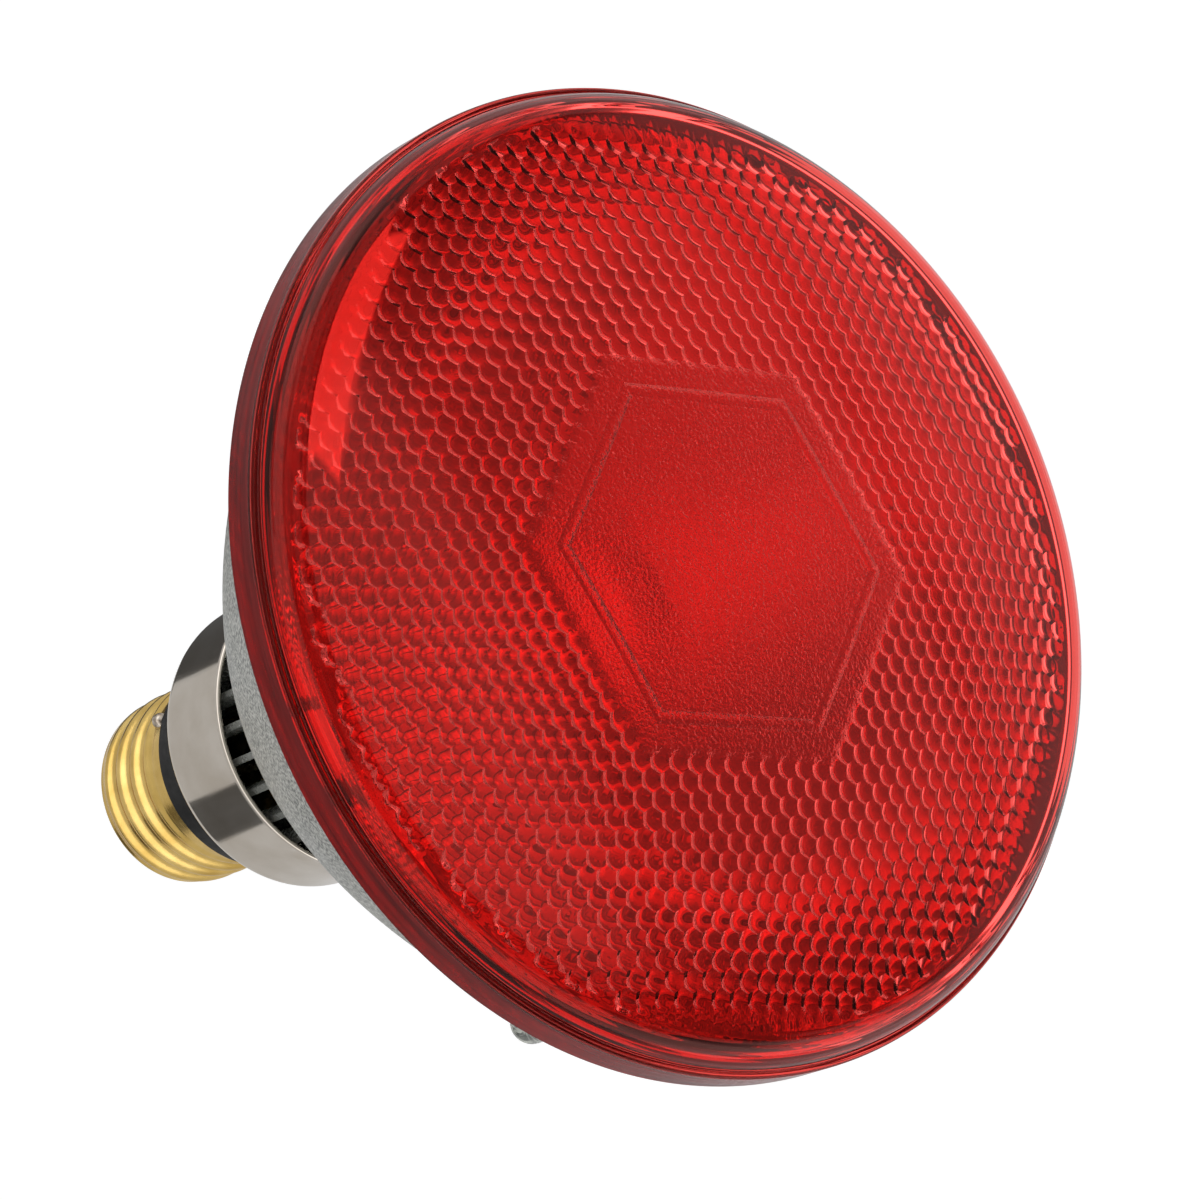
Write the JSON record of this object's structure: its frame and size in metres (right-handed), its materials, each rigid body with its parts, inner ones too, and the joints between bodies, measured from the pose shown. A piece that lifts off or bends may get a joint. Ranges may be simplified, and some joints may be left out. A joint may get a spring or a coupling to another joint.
{
  "type": "infrared heat lamp bulb",
  "caption": "Reflector heat lamp: a wide red pressed-glass lens with a honeycomb pattern on a silvered glass bowl, with a metal skirt and a threaded screw base",
  "frame": {"origin": "The tip of the centre contact, on the lamp's axis: the point that meets the holder's spring", "axes": "+Z runs along the lamp's axis from the contact tip to the middle of the lens; +X points to one corner of the lens's hexagonal panel"},
  "size_m": [0.1216, 0.1216, 0.135],
  "materials": {
    "red_glass": "polished",
    "silvered_glass": "satin",
    "clear_glass": "polished",
    "ferrule_metal": "satin",
    "braze_metal": "satin",
    "post_metal": "satin",
    "tungsten": "satin",
    "nickel_plate": "polished",
    "ring_black": "satin",
    "shell_brass": "polished",
    "black_glass": "gloss",
    "solder": "satin",
    "lead_wire": "satin"
  },
  "bodies": {
    "root": {"lens": "red_glass", "reflector": "silvered_glass", "exhaust_tube": "clear_glass", "ferrule_a": "ferrule_metal", "ferrule_b": "ferrule_metal", "braze_a": "braze_metal", "braze_b": "braze_metal", "lead_post_a": "post_metal", "lead_post_b": "post_metal", "filament": "tungsten", "skirt": "nickel_plate", "insulating_ring": "ring_black", "screw_shell": "shell_brass", "base_insulator": "black_glass", "centre_contact": "shell_brass", "contact_solder": "solder", "contact_lead": "lead_wire", "side_solder": "solder", "shell_lead": "lead_wire"}
  },
  "joints": []
}
